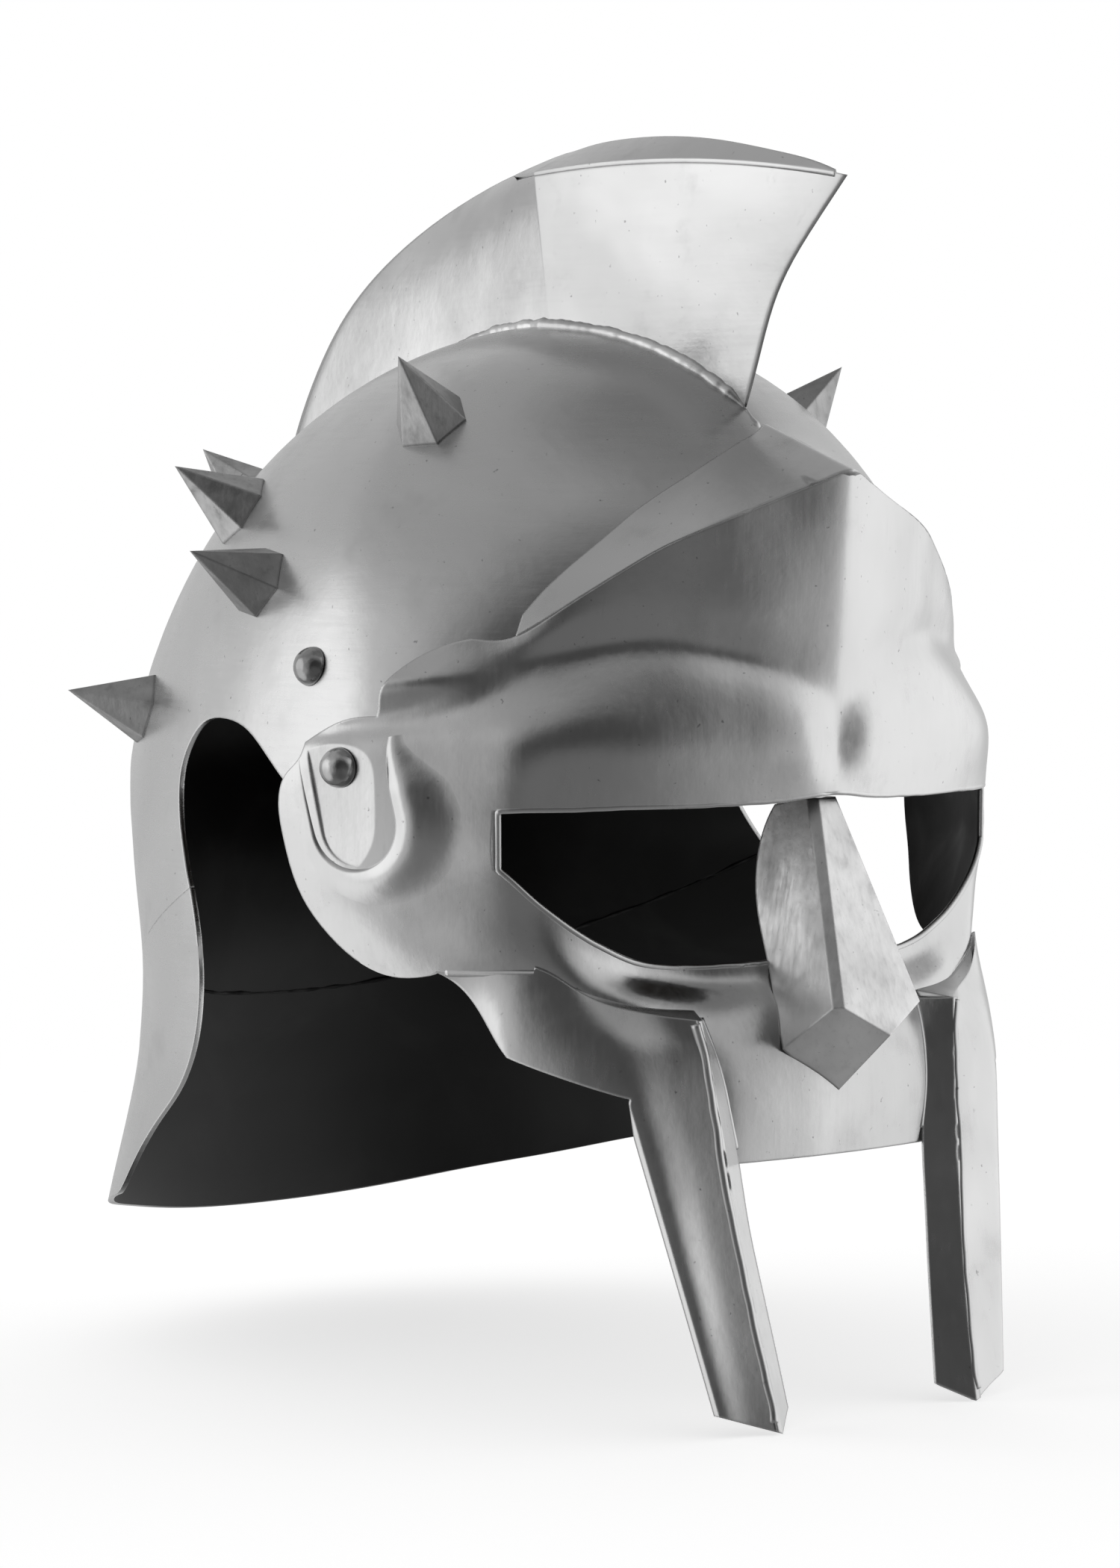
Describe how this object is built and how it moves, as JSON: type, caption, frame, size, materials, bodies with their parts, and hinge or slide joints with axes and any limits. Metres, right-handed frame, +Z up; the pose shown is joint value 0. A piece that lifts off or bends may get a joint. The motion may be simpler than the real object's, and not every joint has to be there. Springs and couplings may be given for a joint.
{
  "type": "visored crested helmet",
  "caption": "Steel arena-style helmet with a tall blade crest, faceted spikes, an ear arch, a flared neck guard and a hinged face visor with nose guard and long cheek bars.",
  "frame": {"origin": "middle of the line through the two visor pivots, on the helmet's centre plane", "axes": "+X to the wearer's left, +Y to the wearer's back, +Z up; the visor pivots turn about X"},
  "size_m": [0.237, 0.2808, 0.3453],
  "materials": {
    "bowl_steel": "satin polished",
    "crest_steel": "satin polished",
    "spike_steel": "ground and polished",
    "visor_steel": "satin polished",
    "nose_steel": "satin polished",
    "rivet_steel": "darkened",
    "liner_leather": "dark",
    "lace_cord": "dark"
  },
  "bodies": {
    "shell": {"skull_bowl": "bowl_steel", "neck_guard": "bowl_steel", "crest_right_plate": "crest_steel", "crest_left_plate": "crest_steel", "crest_top_plate": "crest_steel", "spike_right_crown": "spike_steel", "spike_right_rear_high": "spike_steel", "spike_right_rear_middle": "spike_steel", "spike_right_side": "spike_steel", "spike_right_rear_low": "spike_steel", "spike_left_crown": "spike_steel", "spike_left_rear_high": "spike_steel", "spike_left_rear_middle": "spike_steel", "spike_left_side": "spike_steel", "spike_left_rear_low": "spike_steel", "liner_band": "liner_leather", "liner_leaf_rear": "liner_leather", "liner_leaf_rear_left": "liner_leather", "liner_leaf_front_left": "liner_leather", "liner_leaf_front": "liner_leather", "liner_leaf_front_right": "liner_leather", "liner_leaf_rear_right": "liner_leather", "liner_lace": "lace_cord", "spike_screws": "rivet_steel", "spike_washers": "rivet_steel", "liner_rivets": "rivet_steel", "liner_washers": "rivet_steel", "pivot_rivet_left": "rivet_steel", "pivot_rivet_right": "rivet_steel", "pivot_spacer_left": "rivet_steel", "pivot_spacer_right": "rivet_steel", "pivot_washer_left": "rivet_steel", "pivot_washer_right": "rivet_steel"},
    "visor": {"visor_face": "visor_steel", "brow_ledge": "visor_steel", "cheek_plate_left": "visor_steel", "cheek_plate_right": "visor_steel", "nose_guard": "nose_steel"}
  },
  "joints": [
    {"name": "visor_pivot", "type": "hinge", "parent": "shell", "child": "visor", "pos_m": [0, 0, 0], "axis": [-1, 0, 0], "range_deg": [-7, 1]}
  ]
}
